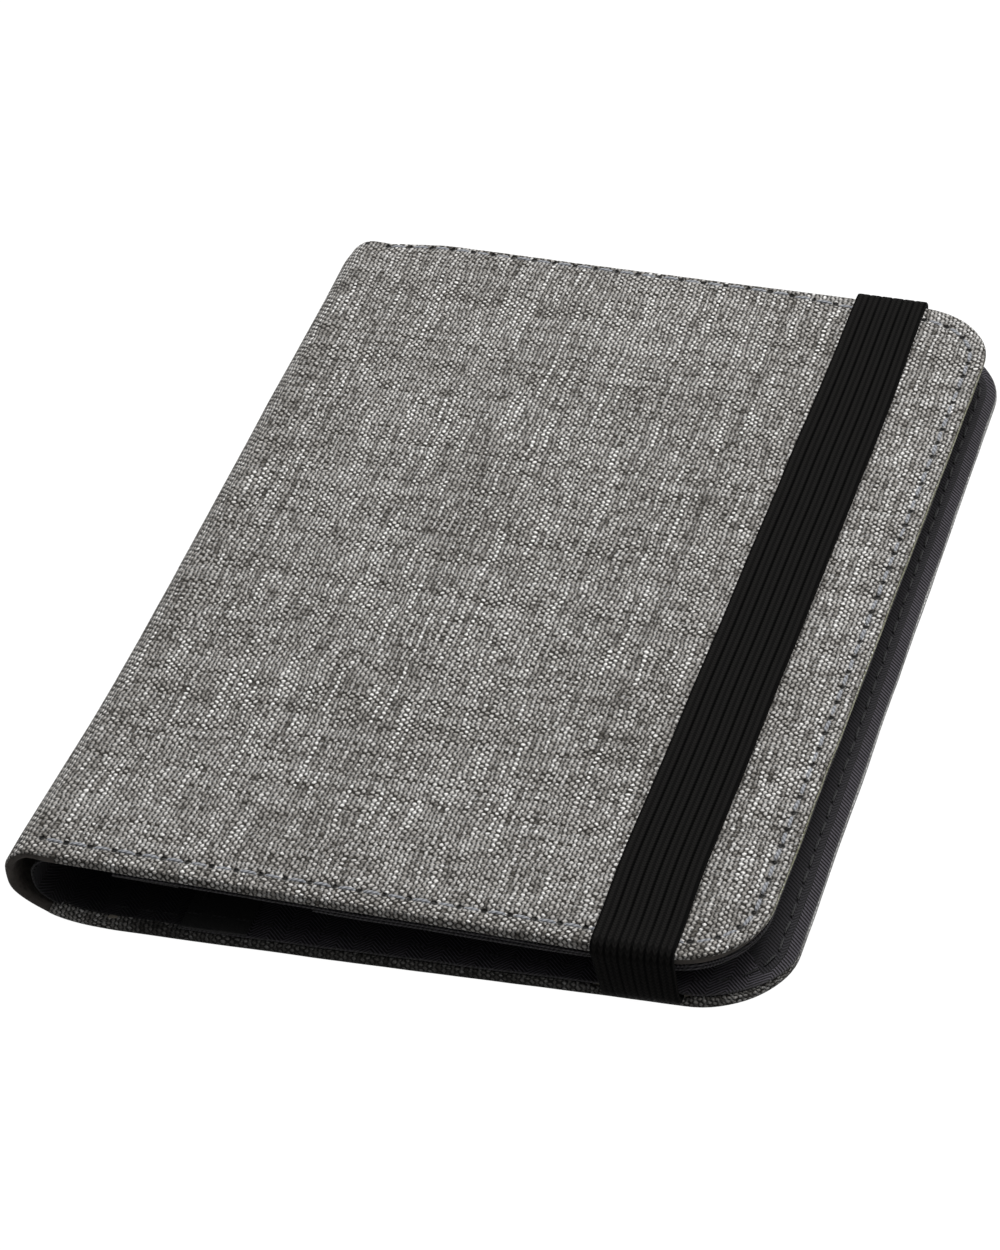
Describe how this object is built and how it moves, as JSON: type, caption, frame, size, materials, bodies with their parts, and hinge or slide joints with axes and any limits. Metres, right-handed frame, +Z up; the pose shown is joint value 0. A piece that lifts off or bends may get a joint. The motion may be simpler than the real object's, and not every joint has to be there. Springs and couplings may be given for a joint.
{
  "type": "passport folio",
  "caption": "Slim fabric-covered document folio: two stiff covers on a soft spine, passport sleeves and a card pocket inside, held shut by an elastic strap.",
  "frame": {"origin": "middle of the footprint of the closed folio, on the surface it lies on", "axes": "+X from the spine to the fore-edge, +Y along the spine, +Z up out of the front cover"},
  "size_m": [0.1012, 0.1474, 0.0122],
  "materials": {
    "outer_fabric": "heathered grey plain weave",
    "foam": "soft white foam sheet",
    "board": "grey pulp board",
    "lining": "dark herringbone lining",
    "pocket": "black pocket cloth",
    "hem": "black folded hem",
    "outer_thread": "blue-grey sewing thread",
    "inner_thread": "black sewing thread",
    "elastic": "black ribbed elastic"
  },
  "bodies": {
    "back_cover": {"back_shell": "outer_fabric", "back_foam": "foam", "back_board": "board", "back_lining": "lining", "back_sleeve": "lining", "back_sleeve_hem": "hem", "back_stitching": "outer_thread", "back_inner_stitching": "inner_thread", "back_hem_seam": "inner_thread", "strap_tail_near": "elastic", "strap_tail_far": "elastic"},
    "spine_lower": {"spine_lower_fabric": "outer_fabric", "spine_lower_lining": "lining"},
    "spine_upper": {"spine_upper_fabric": "outer_fabric", "spine_upper_lining": "lining"},
    "front_cover": {"front_shell": "outer_fabric", "front_foam": "foam", "front_board": "board", "front_lining": "lining", "front_sleeve": "pocket", "front_sleeve_hem": "hem", "card_pocket": "pocket", "card_pocket_hem": "hem", "front_stitching": "outer_thread", "front_inner_stitching": "inner_thread", "front_hem_seams": "inner_thread"},
    "strap": {"elastic_strap": "elastic"}
  },
  "joints": [
    {"name": "lower_crease", "type": "hinge", "parent": "back_cover", "child": "spine_lower", "pos_m": [-0.04037, 0, 0.00025], "axis": [0, -1, 0], "range_deg": [0, 22]},
    {"name": "spine_fold", "type": "hinge", "parent": "spine_lower", "child": "spine_upper", "pos_m": [-0.05037, 0, 0.0064], "axis": [0, -1, 0], "range_deg": [0, 92]},
    {"name": "upper_crease", "type": "hinge", "parent": "spine_upper", "child": "front_cover", "pos_m": [-0.04838, 0, 0.01195], "axis": [0, -1, 0], "range_deg": [0, 69]},
    {"name": "strap_pull", "type": "slide", "parent": "back_cover", "child": "strap", "axis": [1, 0, 0], "range_m": [0, 0.03], "stiffness_N_per_m": 100, "deforming": ["elastic_strap"]}
  ]
}
